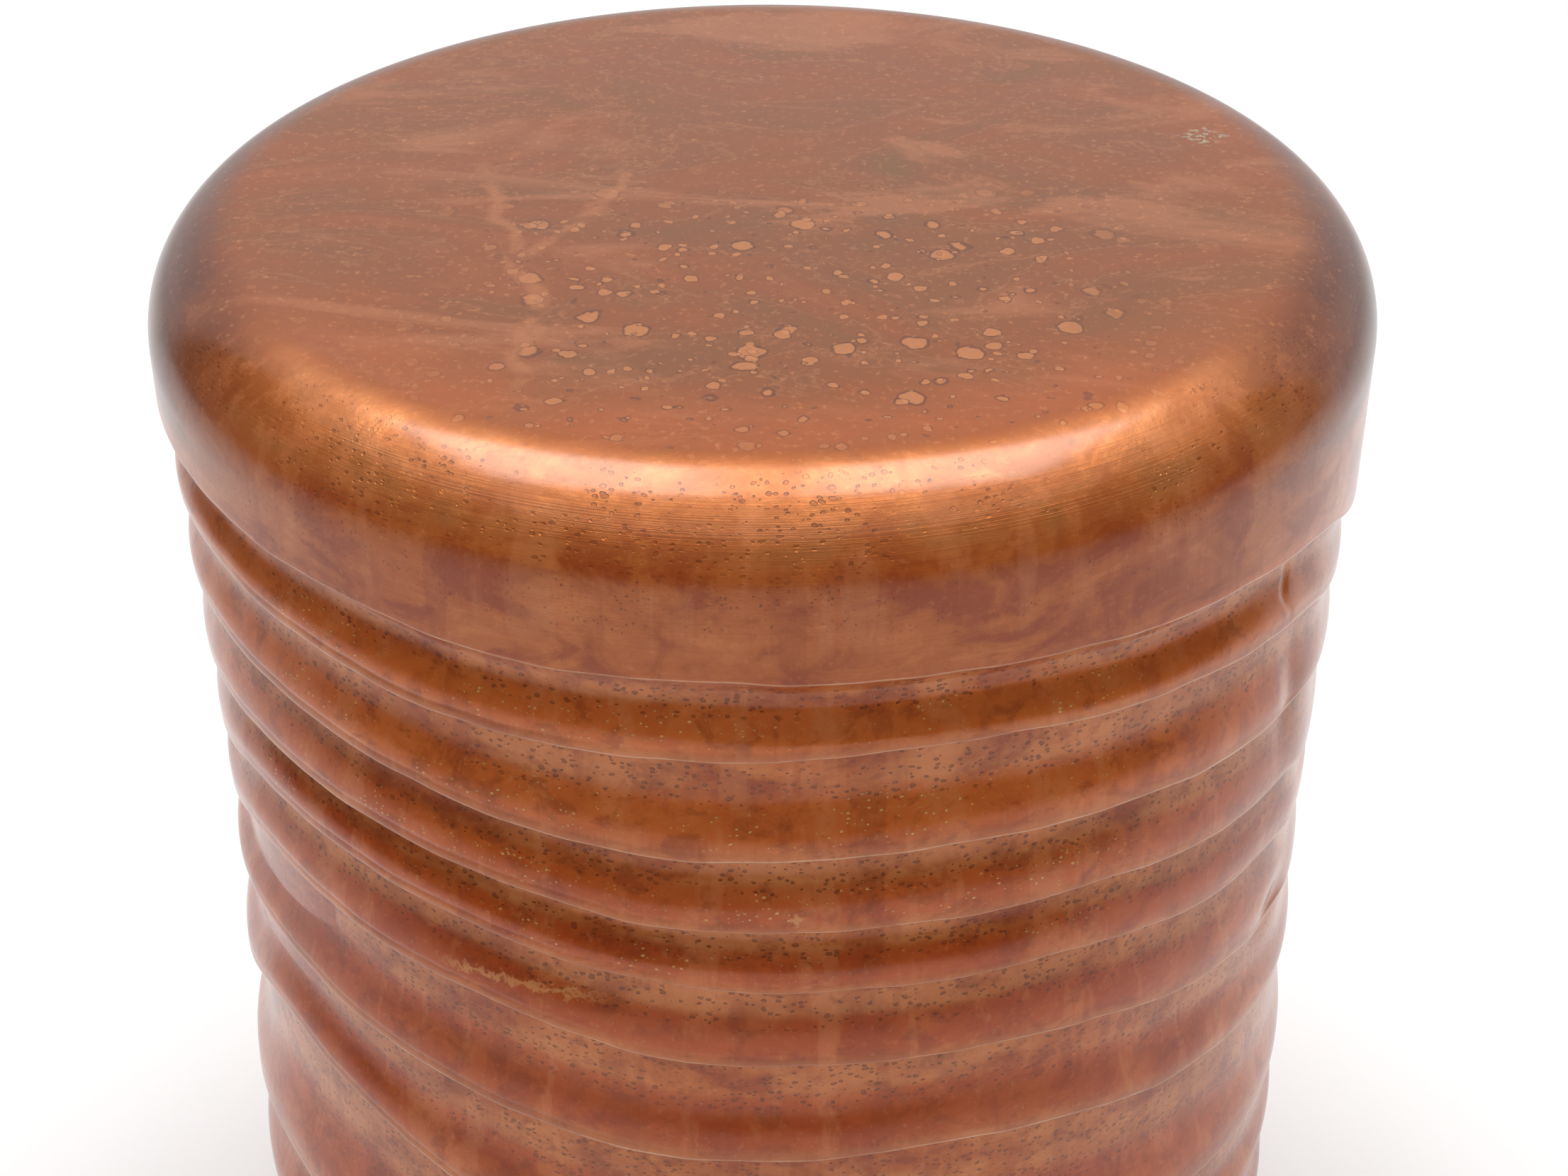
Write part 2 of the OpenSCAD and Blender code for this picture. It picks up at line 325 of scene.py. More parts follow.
def turned(rows, centre, columns=48):
    """Points and faces of one closed turned solid: rows are (height, radius), the radius one number
    or one for each column. The first and last rows are closed with a cap."""
    a = np.arange(columns) * 2 * math.pi / columns
    points = [np.stack([centre[0] + r * np.cos(a), centre[1] + r * np.sin(a), np.full(columns, z)], 1)
              for z, r in rows]
    faces = []
    stitch([(i, i + 1) for i in range(len(rows) - 1)], faces, columns)
    last = (len(rows) - 1) * columns
    faces = [face[::-1] for face in faces]
    faces.append(list(range(columns)))
    faces.append([last + j for j in range(columns)][::-1])
    return np.concatenate(points), faces


def tube(rows, centre, columns=48):
    """As turned(), for a ring or tube: the last row joins the first and there are no caps."""
    points, faces = turned(rows, centre, columns)
    faces = faces[:-2]
    extra = []
    stitch([(len(rows) - 1, 0)], extra, columns)
    return points, faces + [face[::-1] for face in extra]


def joined(solids):
    """Several solids as one set of points and faces."""
    points, faces, start = [], [], 0
    for some, their_faces in solids:
        points.append(some)
        faces += [[start + i for i in face] for face in their_faces]
        start += len(some)
    return np.concatenate(points), faces


def bolt(name, solids, body, slot, material, *nodes):
    points, faces = joined(solids)
    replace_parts(mesh_piece(name, points, faces, body, material), *nodes)


def thread_rows(low, high, radius, pitch, depth, columns, steps=6):
    """Rows of a helical thread from low to high."""
    turn = np.arange(columns) / columns
    rows = []
    for i in range(int((high - low) / pitch * steps) + 1):
        z = low + i * pitch / steps
        phase = (i / steps - turn) % 1.0
        rows.append((z, radius - depth * np.abs(2 * phase - 1)))
    return rows


def hexagon(flat_radius, columns, start=0.0):
    """Distance to the side of a hexagon for each column; a corner lies at start degrees."""
    a = (np.arange(columns) * 360.0 / columns - start) % 60
    return flat_radius / np.cos(np.radians(a - 30))


def middle(node):
    low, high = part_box(node)
    return ((low.x + high.x) / 2, (low.y + high.y) / 2), low.z, high.z


def diameter(node):
    low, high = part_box(node)
    return high.x - low.x


def stud(n, centre):
    """A threaded stud, blunt at both ends."""
    _, low, high = middle(f"glide_stud_{n}")
    rows = [(low, STUD_R - 0.6 * MM)]
    rows += thread_rows(low + 0.6 * MM, high - 1.2 * MM, STUD_R, PITCH, 0.65 * MM, 36)
    rows += [(high - 0.8 * MM, STUD_R - 0.8 * MM), (high, STUD_R - 1.3 * MM)]
    return turned(rows, centre, 36)


def foot(n, centre):
    """A moulded foot: a gripped rim, a domed top and a socket for the stud."""
    columns, grips = 144, 18
    _, low, high = middle(f"glide_foot_{n}")
    grip = 0.35 * MM * (1 - np.abs(np.cos(np.arange(columns) * grips * math.pi / columns)) ** 0.5)
    full = diameter(f"glide_foot_{n}") / 2
    snug = STUD_R + 0.02 * MM
    rows = [(low, full - 1.2 * MM), (low + 0.3 * MM, full - 0.5 * MM), (low + 0.9 * MM, full - grip),
            (low + 2.4 * MM, full - grip), (low + 3.0 * MM, full - 0.6 * MM),
            (low + 3.5 * MM, full - 1.8 * MM), (low + 4.3 * MM, full - 4.5 * MM),
            (low + 4.8 * MM, full - 7.5 * MM), (high, full - 9.5 * MM),
            (high, 6.5 * MM), (high, snug), (high - 3 * MM, snug)]
    return turned(rows, centre, columns)


def pad(n, centre):
    """A rubber pad with three round grooves underneath."""
    _, low, high = middle(f"glide_pad_{n}")
    full = diameter(f"glide_pad_{n}") / 2
    groove_half, groove_slope, groove_depth = 0.6, 0.2 * MM, 0.5 * MM
    rows = [(high, full - 0.4 * MM), (high - 0.3 * MM, full), (low + 0.6 * MM, full), (low, full - 0.6 * MM)]
    for groove in (12.5, 9.0, 5.5):
        outer, inner = (groove + groove_half) * MM, (groove - groove_half) * MM
        rows += [(low, outer), (low + groove_depth, outer - groove_slope),
                 (low + groove_depth, inner + groove_slope), (low, inner)]
    return turned(rows[::-1], centre, 72)


def nut(centre):
    """A hexagonal jam nut with rounded corners and a countersunk hole."""
    _, low, high = middle("jam_nuts")
    columns, crown = 72, 6.5 * MM
    sides = hexagon(crown, columns, math.degrees(math.atan2(centre[1], centre[0])))
    blunt, rounded = np.minimum(sides, crown), np.minimum(sides, crown + 0.8 * MM)
    rows = [(low, blunt), (low + 0.5 * MM, rounded), (low + 0.8 * MM, sides), (high - 0.8 * MM, sides),
            (high - 0.5 * MM, rounded), (high, blunt), (high, HOLE_R + 0.4 * MM),
            (high - 0.4 * MM, HOLE_R), (low + 0.4 * MM, HOLE_R), (low, HOLE_R + 0.4 * MM)]
    return tube(rows, centre, columns)


def bush(centre):
    """A threaded bush with a knurled collar under the flange ring."""
    _, low, high = middle("glide_inserts")
    columns, collar, barrel = 72, 11.0 * MM, 7.0 * MM
    flange_low = RING_LOW.z
    knurl = 0.3 * MM * np.abs((np.arange(columns) % 3) - 1)
    rows = [(low, collar - 0.7 * MM), (low + 0.5 * MM, collar - knurl),
            (flange_low - 0.5 * MM, collar - knurl), (flange_low, collar - 0.5 * MM), (flange_low, barrel),
            (high - 0.6 * MM, barrel), (high, barrel - 0.6 * MM), (high, HOLE_R + 0.4 * MM),
            (high - 0.4 * MM, HOLE_R), (low + 0.4 * MM, HOLE_R), (low, HOLE_R + 0.4 * MM)]
    return tube(rows, centre, columns)


def glides(finish):
    """Studs, feet and pads, which move, and the nuts and bushes that hold them."""
    centres = []
    for n in range(1, 5):
        centre = middle(f"glide_stud_{n}")[0]
        centres.append(centre)
        for word, solid, slot in (("stud", stud, "zinc_steel"), ("foot", foot, "foot_plastic"),
                                  ("pad", pad, "pad_rubber")):
            piece_name, node = f"{word}_{n}", f"glide_{word}_{n}"
            bolt(piece_name, [solid(n, centre)], f"glide_{n}", slot, finish[slot], node)
    nuts = [nut(centre) for centre in centres]
    bushes = [bush(centre) for centre in centres]
    bolt("lock_nuts", nuts, "drum", "zinc_steel", finish["zinc_steel"], "jam_nuts")
    bolt("threaded_bushes", bushes, "drum", "insert_brass", finish["insert_brass"], "glide_inserts")


def fasteners(finish):
    """Six socket-head screws with washers under the base plate."""
    screws, washers = [], []
    _, low, high = middle("base_screws")
    _, washer_low, washer_high = middle("base_washers")
    head, shank, bore = 4.6 * MM, 2.45 * MM, 2.75 * MM
    washer_r = 6.0 * MM
    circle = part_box("base_washers")[1].x - washer_r
    columns = 48
    socket = hexagon(1.5 * MM, columns)
    for n in range(SCREWS):
        a = math.radians(360 / SCREWS * n)
        centre = (circle * math.cos(a), circle * math.sin(a))
        rows = [(low + 1.6 * MM, socket * 0.2), (low + 1.5 * MM, socket), (low + 0.15 * MM, socket),
                (low, socket + 0.15 * MM), (low, head - 1.7 * MM), (low + 0.25 * MM, head - 0.9 * MM),
                (low + 0.8 * MM, head - 0.25 * MM), (low + 1.5 * MM, head), (washer_low, head),
                (washer_low, shank)]
        rows += thread_rows(washer_high + 0.5 * MM, high - 0.8 * MM, shank, 0.8 * MM, 0.4 * MM, columns, 4)
        rows += [(high, shank - 0.9 * MM)]
        screws.append(turned(rows, centre, columns))
        rows = [(washer_low, washer_r - 0.25 * MM), (washer_low + 0.25 * MM, washer_r),
                (washer_high - 0.1 * MM, washer_r), (washer_high, washer_r - 0.1 * MM), (washer_high, bore),
                (washer_low + 0.15 * MM, bore), (washer_low, bore + 0.15 * MM)]
        washers.append(tube(rows, centre, columns))
    bolt("socket_screws", screws, "drum", "zinc_steel", finish["zinc_steel"], "base_screws")
    bolt("plain_washers", washers, "drum", "zinc_steel", finish["zinc_steel"], "base_washers")


# ---------------------------------------------------------------- materials
class Graph:
    """A material's node graph, built by short calls. Inputs are numbers or other nodes' outputs."""

    def __init__(self, name, **surface):
        self.material = bpy.data.materials.new(name)
        self.material.use_nodes = True
        self.nodes = self.material.node_tree.nodes
        self.links = self.material.node_tree.links
        self.shader = self.nodes["Principled BSDF"]
        for socket, value in surface.items():
            self.shader.inputs[socket.replace("_", " ")].default_value = value
        self.place = self.nodes.new("ShaderNodeTexCoord").outputs["Object"]

    def put(self, socket, value):
        if isinstance(value, bpy.types.NodeSocket):
            self.links.new(value, socket)
        elif isinstance(value, tuple) and len(value) == 3 and socket.type == "RGBA":
            socket.default_value = (*value, 1)
        else:
            socket.default_value = value

    def scaled(self, x, y, z, shift=(0, 0, 0)):
        node = self.nodes.new("ShaderNodeMapping")
        node.inputs["Scale"].default_value = (x, y, z)
        node.inputs["Location"].default_value = shift
        self.links.new(self.place, node.inputs["Vector"])
        return node.outputs["Vector"]

    def noise(self, vector, scale, detail=4.0, rough=0.55, bend=0.0):
        node = self.nodes.new("ShaderNodeTexNoise")
        node.inputs["Scale"].default_value = scale
        node.inputs["Detail"].default_value = detail
        node.inputs["Roughness"].default_value = rough
        node.inputs["Distortion"].default_value = bend
        self.links.new(vector, node.inputs["Vector"])
        return node.outputs["Fac"]

    def shaken(self, vector, scale, amount):
        """vector moved about by a noise, to make outlines uneven."""
        node = self.nodes.new("ShaderNodeTexNoise")
        node.inputs["Scale"].default_value = scale
        node.inputs["Detail"].default_value = 2.0
        self.links.new(vector, node.inputs["Vector"])
        move = self.nodes.new("ShaderNodeVectorMath")
        move.operation = "MULTIPLY_ADD"
        self.links.new(node.outputs["Color"], move.inputs[0])
        move.inputs[1].default_value = (amount, amount, amount)
        self.links.new(vector, move.inputs[2])
        return move.outputs["Vector"]

    def spots(self, vector, scale, small, large, share, soft=0.05):
        """Round spots in a share of the cells of a grid: (filled spot, distance, its own radius)."""
        node = self.nodes.new("ShaderNodeTexVoronoi")
        node.inputs["Scale"].default_value = scale
        self.links.new(vector, node.inputs["Vector"])
        tone = self.nodes.new("ShaderNodeSeparateColor")
        self.links.new(node.outputs["Color"], tone.inputs[0])
        radius = self.step(tone.outputs["Red"], 0.0, 1.0, small, large)
        gap = self.math("SUBTRACT", radius, node.outputs["Distance"])
        chosen = self.math("LESS_THAN", tone.outputs["Green"], share)
        return self.math("MULTIPLY", self.step(gap, 0.0, soft), chosen), gap, chosen

    def math(self, kind, a, b=0.5, clamp=False):
        node = self.nodes.new("ShaderNodeMath")
        node.operation = kind
        node.use_clamp = clamp
        self.put(node.inputs[0], a)
        self.put(node.inputs[1], b)
        return node.outputs[0]

    def times(self, first, *others):
        for other in others:
            first = self.math("MULTIPLY", first, other)
        return first

    def step(self, value, low, high, out_low=0.0, out_high=1.0):
        node = self.nodes.new("ShaderNodeMapRange")
        node.interpolation_type = "SMOOTHSTEP"
        node.inputs["From Min"].default_value = low
        node.inputs["From Max"].default_value = high
        node.inputs["To Min"].default_value = out_low
        node.inputs["To Max"].default_value = out_high
        self.put(node.inputs["Value"], value)
        return node.outputs["Result"]

    def window(self, value, low, high, soft):
        """1 between low and high, falling to 0 over soft on both sides."""
        rise = self.step(value, low - soft, low)
        fall = self.step(value, high, high + soft, 1.0, 0.0)
        return self.math("MULTIPLY", rise, fall)

    def ramp(self, value, stops):
        node = self.nodes.new("ShaderNodeValToRGB")
        band = node.color_ramp
        while len(band.elements) < len(stops):
            band.elements.new(0.5)
        for element, (where, colour) in zip(band.elements, stops):
            element.position = where
            element.color = (*colour, 1)
        self.put(node.inputs["Fac"], value)
        return node.outputs["Color"]

    def mix(self, share, a, b, kind="MIX"):
        node = self.nodes.new("ShaderNodeMix")
        node.data_type = "RGBA"
        node.blend_type = kind
        self.put(node.inputs["Factor"], share)
        self.put(node.inputs[6], a)
        self.put(node.inputs[7], b)
        return node.outputs[2]

    def bump(self, height, distance, strength=1.0, normal=None):
        node = self.nodes.new("ShaderNodeBump")
        node.inputs["Distance"].default_value = distance
        node.inputs["Strength"].default_value = strength
        self.links.new(height, node.inputs["Height"])
        if normal is not None:
            self.links.new(normal, node.inputs["Normal"])
        return node.outputs["Normal"]

    def finish(self, colour=None, rough=None, normal=None):
        for name, value in (("Base Color", colour), ("Roughness", rough), ("Normal", normal)):
            if value is not None:
                self.put(self.shader.inputs[name], value)
        return self.material


# Colours of the copper finish, linear.
SIDE_CLOUDS = [(0.28, (0.342, 0.069, 0.010)), (0.48, (0.423, 0.101, 0.018)), (0.66, (0.503, 0.141, 0.032))]
TOP_CLOUDS = [(0.30, (0.141, 0.050, 0.011)), (0.44, (0.169, 0.048, 0.009)),
              (0.56, (0.194, 0.047, 0.007)), (0.70, (0.237, 0.066, 0.015))]
PAINT = {
    "thick film": (0.292, 0.046, 0.008),
    "rubbed patch": (0.564, 0.181, 0.050),
    # partly wiped patina, partly painted sheen: the rib flares get a brighter, more saturated orange that
    # stands for their coloured reflection
    "upper flare sheen": (0.612, 0.139, 0.024),
    "lower flare sheen": (0.408, 0.058, 0.008),
    "pale hollow": (0.604, 0.231, 0.080),
    "drip": (0.604, 0.206, 0.073),
    "stain": (0.282, 0.048, 0.010),
    "mottle": (0.231, 0.037, 0.007),
    "salmon": (0.277, 0.093, 0.034),
    "vein": (0.292, 0.108, 0.038),
    "top rim": (0.342, 0.074, 0.007),
    "drop": (0.380, 0.138, 0.044),
    "drop outline": (0.080, 0.018, 0.004),
    "streak": (0.332, 0.116, 0.043),
    "verdigris": (0.30, 0.31, 0.24),
    # rubbed wear with a painted highlight, along the front of the shoulder
    "shoulder gold and highlight": (0.64, 0.235, 0.075),
    "polish run": (0.60, 0.215, 0.080),
    "shoulder brown": (0.085, 0.015, 0.003),
    "turned line": (0.295, 0.055, 0.013),
    "speck": (0.126, 0.027, 0.008),
    "pit": (0.158, 0.038, 0.010),
    # bright grains with a painted glint
    "bright grain glint": (0.703, 0.378, 0.126),
    # painted shade: darkening in the crease under each lip, with some grime
    "crease shade and dirt": (0.126, 0.038, 0.015),
    # painted sheen on the roll above each lip
    "lip": (0.483, 0.178, 0.073),
    # painted highlight along each lip's edge, with some rubbing
    "lip edge highlight and rubbing": (0.703, 0.463, 0.305),
    # painted highlight on a ledge at the front left, and a pale fleck in front
    "ledge highlight and fleck": (0.703, 0.311, 0.118),
    "light speckle": (0.630, 0.247, 0.095),
    "dark speckle": (0.200, 0.042, 0.010),
}


class Patina(Graph):
    """Antique copper finish on cast metal: mottled, streaked and finely pitted under clear lacquer.
    Depths and radii are in millimetres, azimuths in degrees, x and y in metres."""

    def __init__(self):
        super().__init__("antique_copper", Coat_Weight=1.0, Coat_Roughness=0.20, Coat_IOR=1.45,
                         Specular_IOR_Level=0.0)
        split = self.nodes.new("ShaderNodeSeparateXYZ")
        self.links.new(self.place, split.inputs[0])
        self.x, self.y, z = split.outputs
        turn = self.math("ARCTAN2", self.x, self.math("MULTIPLY", self.y, -1.0))
        self.azimuth = self.math("MULTIPLY", turn, 180 / math.pi)
        self.depth = self.math("MULTIPLY", self.math("SUBTRACT", TOP_Z, z), 1 / MM)
        across = self.math("POWER", self.x, 2.0)
        across = self.math("ADD", across, self.math("POWER", self.y, 2.0))
        self.radius = self.math("MULTIPLY", self.math("SQRT", across), 1 / MM)
        place = self.nodes.new("ShaderNodeAttribute")
        place.attribute_name = "rib_place"
        self.rib = place.outputs["Fac"]
        self.flat = self.step(self.depth, 2, 15, 1.0, 0.0)
        self.ribbed = self.step(self.depth, 55, 60)
        self.below_band = self.step(self.depth, 47, 52)
        self.sideways = self.math("ABSOLUTE", self.azimuth)
        self.cloud = self.noise(self.scaled(1, 1, 1.5), 9.0, 6.0, 0.6, 0.6)
        self.blotch = self.noise(self.scaled(1, 1, 1.7), 42.0, 5.0, 0.62, 0.5)
        self.patch = self.noise(self.scaled(1, 1, 2.2, (3, 1, 2)), 24.0, 4.0, 0.6)
        self.speckle = self.noise(self.place, 420.0, 3.0, 0.7)
        self.drip = self.noise(self.scaled(1, 1, 0.10), 75.0, 4.0, 0.6)
        self.lines = self.noise(self.scaled(1, 1, 420), 8.0, 4.0, 0.6)

    def paint(self, colour, name, *shares):
        """colour painted over with a named paint; the shares are multiplied."""
        return self.mix(self.times(*shares), colour, PAINT[name])

    def gap_to(self, value, middle):
        return self.math("ABSOLUTE", self.math("SUBTRACT", value, middle))

    def side_colour(self):
        """Ribs and band: deep orange brown, golden where rubbed, reddish where the film is thick."""
        colour = self.ramp(self.cloud, SIDE_CLOUDS)
        colour = self.paint(colour, "thick film", self.step(self.blotch, 0.48, 0.62, 0.0, 0.75))
        colour = self.paint(colour, "rubbed patch", self.step(self.blotch, 0.34, 0.46, 0.5, 0.0))
        shaken_azimuth = self.math("ADD", self.azimuth, self.times(self.blotch, 12.0))
        pinched = self.step(shaken_azimuth, 56, 68, 1.0, 0.25)
        # painted sheen with some wiped patina: the flares are painted brighter and more saturated than the
        # patina around them
        flare = self.mix(self.step(self.depth, 95, 150), PAINT["upper flare sheen"], PAINT["lower flare sheen"])
        share = self.times(self.window(self.rib, 0.50, 0.78, 0.16), self.ribbed, pinched, 0.6)
        colour = self.mix(share, colour, flare)
        colour = self.paint(colour, "pale hollow", self.window(self.rib, 0.08, 0.34, 0.10), self.ribbed,
                            self.step(self.patch, 0.35, 0.6), 0.5)
        colour = self.paint(colour, "drip", self.step(self.drip, 0.54, 0.62, 0.0, 0.30), self.ribbed)
        colour = self.paint(colour, "stain", self.step(self.drip, 0.36, 0.45, 0.35, 0.0))
        mottle = self.noise(self.scaled(0.7, 0.7, 1), 130.0, 4.0, 0.68, 0.4)
        return self.paint(colour, "mottle", self.step(mottle, 0.50, 0.66, 0.0, 0.50),
                          self.step(self.depth, 45, 60, 0.3, 1.0))

    def top_colour(self):
        """The flat top: dull olive and brown clouds with salmon veins, more orange near the front."""
        marble = self.noise(self.scaled(0.62, 1, 1), 15.0, 7.0, 0.62, 1.3)
        colour = self.ramp(marble, TOP_CLOUDS)
        salmon = self.noise(self.scaled(0.35, 1, 1, (1, 5, 0)), 26.0, 5.0, 0.6, 0.8)
        colour = self.paint(colour, "salmon", self.step(salmon, 0.54, 0.66, 0.0, 0.7))
        colour = self.paint(colour, "vein", self.step(self.gap_to(marble, 0.47), 0.0, 0.011, 0.35, 0.0))
        near = self.step(self.y, -0.13, -0.05, 1.0, 0.15)
        return self.paint(colour, "top rim", self.step(self.radius, 120, 158), near, 0.5)

    def drops(self, colour):
        """Pale drop marks with darker outlines, most of them at the front of the top."""
        near = self.times(self.window(self.x, -0.055, 0.075, 0.05), self.window(self.y, -0.135, -0.03, 0.045))
        crowd = self.times(self.flat, self.math("ADD", self.times(near, 0.9), 0.16))
        sizes = ((66.0, 0.10, 0.28, 0.7), (118.0, 0.10, 0.30, 0.8), (190.0, 0.12, 0.30, 0.5))
        for scale, small, large, chance in sizes:
            place = self.shaken(self.scaled(1, 1, 0, (scale, 0, 0)), 170.0, 0.0042)
            spot, gap, chosen = self.spots(place, scale, small, large, chance, 0.05)
            colour = self.paint(colour, "drop", spot, crowd, 0.7)
            outline = self.times(self.window(gap, -0.015, 0.02, 0.02), chosen)
            colour = self.paint(colour, "drop outline", outline, crowd, 0.6)
        return colour

    def streak(self, colour):
        """A forked pale streak on the left of the top, and one fleck of verdigris on the right."""
        bend = self.times(self.math("SUBTRACT", self.noise(self.place, 30.0, 3.0), 0.5), 0.03)
        across = self.gap_to(self.math("ADD", self.x, bend), -0.068)
        arms = self.step(self.y, -0.06, 0.02, 0.0, 0.022)
        fork = self.gap_to(across, arms)
        colour = self.paint(colour, "streak", self.step(fork, 0.0005, 0.0042, 1.0, 0.0),
                            self.window(self.y, -0.115, 0.01, 0.02), self.step(self.blotch, 0.35, 0.5), 0.5)
        away = self.math("ADD", self.gap_to(self.x, 0.142), self.gap_to(self.y, 0.045))
        return self.paint(colour, "verdigris", self.step(away, 0.004, 0.011, 1.0, 0.0),
                          self.step(self.speckle, 0.48, 0.56), 0.7)

    def shoulder(self, colour):
        """Golden in front, from rubbed wear and a painted highlight; streaked by polish, dark brown far round
        the sides; turned lines.
        """
        over = self.times(self.window(self.depth, 1.0, 13.0, 9.0), self.step(self.radius, 160, 170))
        front = self.step(self.sideways, 38, 66, 1.0, 0.0)
        # this mask is rubbed wear and a painted highlight together: it lies only along the front of the
        # shoulder, where the softbox highlight falls
        self.rubbed = self.times(over, front, self.step(self.blotch, 0.30, 0.62, 1.0, 0.45))
        # painted highlight with rubbed wear on the front of the shoulder
        colour = self.paint(colour, "shoulder gold and highlight", self.rubbed, 0.65)
        self.runs = self.times(self.window(self.depth, 6.0, 40.0, 8.0), self.step(self.radius, 168, 176),
                               self.step(self.drip, 0.50, 0.60))
        colour = self.paint(colour, "polish run", self.runs, 0.30)
        colour = self.paint(colour, "shoulder brown", self.window(self.depth, 0.0, 34.0, 8.0),
                            self.step(self.radius, 158, 176), self.step(self.sideways, 40, 75),
                            self.step(self.patch, 0.3, 0.6, 0.65, 0.97))
        self.turned = self.times(self.math("SUBTRACT", 1.0, self.ribbed), self.step(self.radius, 168, 186))
        return self.paint(colour, "turned line", self.step(self.lines, 0.48, 0.66), self.turned, 0.22)

    def specks(self, colour):
        """Dark specks where the shoulder meets the band, in patches."""
        specks, _, _ = self.spots(self.shaken(self.place, 500.0, 0.0012), 700.0, 0.14, 0.34, 0.8, 0.08)
        return self.paint(colour, "speck", specks, self.window(self.depth, 26, 37, 7.0),
                          self.step(self.patch, 0.40, 0.60), self.step(self.radius, 170, 180), 0.7)

    def pitting(self, colour):
        """Pits, drawn out sideways, in the hollows and around the highlight."""
        place = self.shaken(self.scaled(0.62, 0.62, 1), 300.0, 0.0016)
        pits, _, _ = self.spots(place, 720.0, 0.12, 0.42, 0.85, 0.10)
        hollows = self.times(self.window(self.rib, 0.05, 0.46, 0.12), self.ribbed,
                             self.step(self.patch, 0.26, 0.46))
        glare = self.times(self.window(self.depth, 4, 20, 6.0), self.step(self.radius, 166, 172),
                           self.step(self.patch, 0.46, 0.62))
        where = self.math("MAXIMUM", hollows, self.times(glare, 0.8))
        where = self.math("MAXIMUM", where, self.times(self.step(self.patch, 0.62, 0.72), 0.5))
        self.pits = self.times(pits, where)
        return self.paint(colour, "pit", self.pits, 0.62)

    def grains(self, colour):
        """Bright grains low on the flares of the upper ribs, in front and to the left, painted with their
        glint.
        """
        place = self.shaken(self.scaled(0.7, 0.7, 1), 300.0, 0.001)
        grain, _, _ = self.spots(place, 800.0, 0.08, 0.36, 0.75, 0.08)
        bright = self.times(self.window(self.rib, 0.50, 0.80, 0.10), self.window(self.depth, 62, 150, 10.0),
                            self.window(self.azimuth, -50, 26, 12.0), self.step(self.patch, 0.42, 0.58))
        self.grain = self.times(grain, bright)
        # painted glints on the bright grains
        return self.paint(colour, "bright grain glint", self.grain, 0.8)

    def lips(self, colour):
        """Painted shade with some grime in the crease under each lip, a painted sheen on the roll above each
        lip, and a painted highlight with some rubbing on the lip's own edge.
        """
        # painted shade in the crease under each lip, with some grime
        colour = self.paint(colour, "crease shade and dirt", self.step(self.rib, 0.010, 0.085, 0.8, 0.0), self.ribbed)
        # painted sheen: the roll above each lip is painted paler
        colour = self.paint(colour, "lip", self.step(self.rib, 0.86, 0.97), self.below_band, 0.4)
        # painted highlight along each lip's edge, with some rubbing
        return self.paint(colour, "lip edge highlight and rubbing", self.window(self.rib, 0.978, 1.1, 0.012), self.below_band,
                          self.step(self.blotch, 0.32, 0.60, 1.0, 0.35), 0.6)

    def ledge_highlight_and_fleck(self, colour):
        """Two pale places: a painted highlight on a ledge at the front left, where it catches the softbox,
        and a fleck in front.
        """
        ragged = self.math("ADD", self.depth, self.times(self.speckle, 9.0))
        ledge = self.times(self.window(self.azimuth, -26, -18, 6.0), self.window(ragged, 173.5, 174.5, 1.2))
        beside = self.math("MULTIPLY", self.math("SUBTRACT", self.azimuth, 3.0), 3.3)
        away = self.math("ADD", self.math("ABSOLUTE", beside), self.gap_to(ragged, 138.5))
        fleck = self.step(away, 1.5, 3.5, 1.0, 0.0)
        # painted highlight on the ledge, and a pale fleck
        return self.paint(colour, "ledge highlight and fleck", self.math("MAXIMUM", ledge, fleck), 0.6)

    def speckled(self, colour):
        """Fine speckle everywhere."""
        colour = self.paint(colour, "light speckle", self.step(self.speckle, 0.55, 0.78, 0.0, 0.32))
        return self.paint(colour, "dark speckle", self.step(self.speckle, 0.22, 0.42, 0.35, 0.0))

    def build(self):
        colour = self.mix(self.flat, self.side_colour(), self.top_colour())
        for layer in (self.drops, self.streak, self.shoulder, self.specks, self.pitting, self.grains,
                      self.lips, self.ledge_highlight_and_fleck, self.speckled):
            colour = layer(colour)

        metallic = self.step(self.cloud, 0.3, 0.7, 0.28, 0.42)
        # the shoulder's rubbed front, with its painted highlight, is made more metallic
        metallic = self.math("ADD", metallic, self.times(self.rubbed, 0.40), clamp=True)
        metallic = self.math("SUBTRACT", metallic, self.times(self.flat, 0.12), clamp=True)
        self.put(self.shader.inputs["Metallic"], metallic)
        rough = self.step(self.blotch, 0.3, 0.7, 0.40, 0.54)
        rough = self.math("SUBTRACT", rough, self.times(self.rubbed, 0.10))
        rough = self.math("ADD", rough, self.times(self.runs, 0.10))

        normal = self.bump(self.noise(self.place, 38.0, 3.0, 0.5), 0.0030, 0.35)
        normal = self.bump(self.speckle, 0.0003, 0.40, normal)
        normal = self.bump(self.times(self.lines, self.turned), 0.0003, 0.55, normal)
        normal = self.bump(self.math("SUBTRACT", 1.0, self.pits), 0.0006, 0.8, normal)
        normal = self.bump(self.grain, 0.0005, 0.8, normal)
        return self.finish(colour, rough, normal)


def metal(name, colour, rough, metallic=1.0):
    """A plain finish with a fine grain in colour and roughness."""
    g = Graph(name, Metallic=metallic)
    speck = g.noise(g.place, 300.0, 3.0, 0.6)
    dark = tuple(0.7 * c for c in colour)
    rough = g.step(speck, 0.2, 0.8, rough, rough + 0.15)
    return g.finish(g.mix(g.step(speck, 0.3, 0.7), dark, colour), rough)


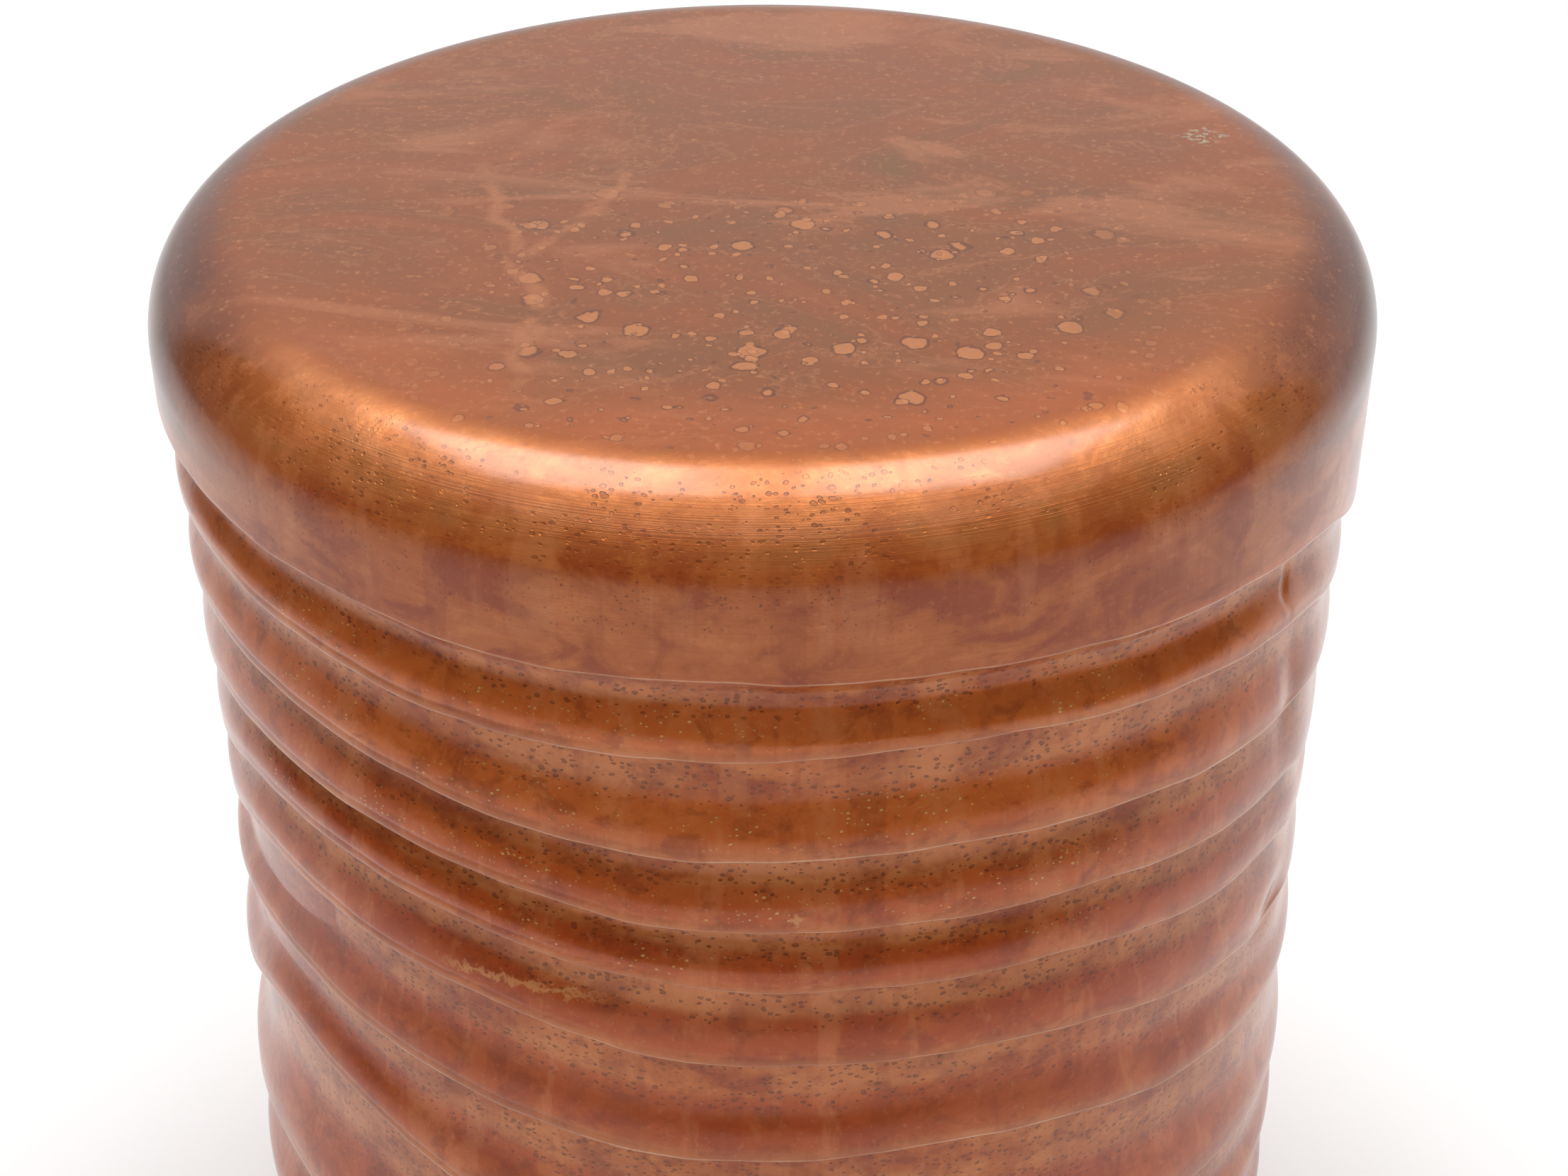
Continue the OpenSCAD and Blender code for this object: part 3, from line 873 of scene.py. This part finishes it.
# ---------------------------------------------------------------- build
copper = Patina().build()
wall_skin(copper)
top_skin(copper)
finishes = {
    "bare_strip": metal("mill_strip", (0.62, 0.62, 0.61), 0.4),
    "base_sheet": metal("powder_coat", (0.10, 0.09, 0.085), 0.6, 0.0),
    "zinc_steel": metal("zinc_plate", (0.60, 0.60, 0.58), 0.3),
    "insert_brass": metal("turned_brass", (0.60, 0.44, 0.20), 0.35),
    "foot_plastic": metal("moulded_plastic", (0.035, 0.035, 0.037), 0.55, 0.0),
    "pad_rubber": metal("rubber", (0.05, 0.048, 0.045), 0.8, 0.0),
}
glides(finishes)
fasteners(finishes)
node_slots = {s["node"]: s["material_slot"] for s in frame["record"]["subparts"]}
for name, node in frame["nodes"].items():
    if node_slots[name] in finishes:
        node.data.materials.clear()
        node.data.materials.append(finishes[node_slots[name]])


# ---------------------------------------------------------------- studio
def stage_mesh(name, points, faces, material):
    mesh = bpy.data.meshes.new(name)
    mesh.from_pydata(points, [], faces)
    mesh.materials.append(material)
    thing = bpy.data.objects.new(name, mesh)
    bpy.context.scene.collection.objects.link(thing)
    return thing


def matt(name, colour):
    g = Graph(name)
    g.shader.inputs["Base Color"].default_value = (*colour, 1)
    g.shader.inputs["Roughness"].default_value = 1.0
    g.shader.inputs["Specular IOR Level"].default_value = 0.0
    return g.material


def lamp(name, width, depth, power, location, tilt=0):
    """A rectangular area lamp, facing down unless tilted about X by tilt degrees."""
    light = bpy.data.lights.new(name, "AREA")
    light.shape = "RECTANGLE"
    light.size, light.size_y = width, depth
    light.energy = power
    thing = bpy.data.objects.new(name, light)
    thing.location = location
    thing.rotation_euler = (math.radians(tilt), 0, 0)
    bpy.context.scene.collection.objects.link(thing)
    return thing


def dark_side():
    """The dark side of the room, a curved cloth seen only in reflections."""
    steps = 48
    radius, foot_z, height = 3.2, 0.02, 3.0
    first, last = math.radians(-125), math.radians(112)
    low, high = [], []
    for i in range(steps + 1):
        a = first + (last - first) * i / steps
        low.append((radius * math.sin(a), -radius * math.cos(a), foot_z))
        high.append((radius * math.sin(a), -radius * math.cos(a), height))
    n = steps + 1
    quads = [(i, i + 1, n + i + 1, n + i) for i in range(steps)]
    cloth = stage_mesh("dark_side", low + high, quads, matt("dark_cloth", (0.10, 0.09, 0.08)))
    cloth.visible_camera = False
    cloth.visible_shadow = False


def studio():
    """Pale floor, white surroundings, dark front, two softboxes overhead and a front fill."""
    half = 8.0
    stage_mesh("floor", [(-half, -half, 0), (half, -half, 0), (half, half, 0), (-half, half, 0)],
               [(0, 1, 2, 3)], matt("pale_floor", (0.80, 0.80, 0.80)))
    dark_side()
    world = bpy.data.worlds.new("studio")
    world.use_nodes = True
    background = world.node_tree.nodes["Background"]
    background.inputs["Color"].default_value = (1, 1, 1, 1)
    background.inputs["Strength"].default_value = 0.75
    bpy.context.scene.world = world
    lamp("softbox_left", 1.1, 1.4, 35, (-0.68, 0.35, 2.5))
    lamp("softbox_right", 1.1, 1.4, 33, (0.68, 0.35, 2.5))
    fill = lamp("front_fill", 1.8, 1.8, 13, (0, -2.3, 1.2), 68)
    fill.visible_glossy = False


def camera():
    """Looks down on the front, as the photograph does."""
    eye = bpy.data.cameras.new("camera")
    eye.sensor_width = 36.0
    eye.lens = 60.5
    thing = bpy.data.objects.new("camera", eye)
    thing.location = (0.0065, -0.7518, TOP_Z + 0.3368)
    thing.rotation_euler = (math.radians(90 - 32.65), 0, 0)
    bpy.context.scene.collection.objects.link(thing)
    bpy.context.scene.camera = thing


studio()
camera()
bpy.context.scene.view_settings.view_transform = "Standard"
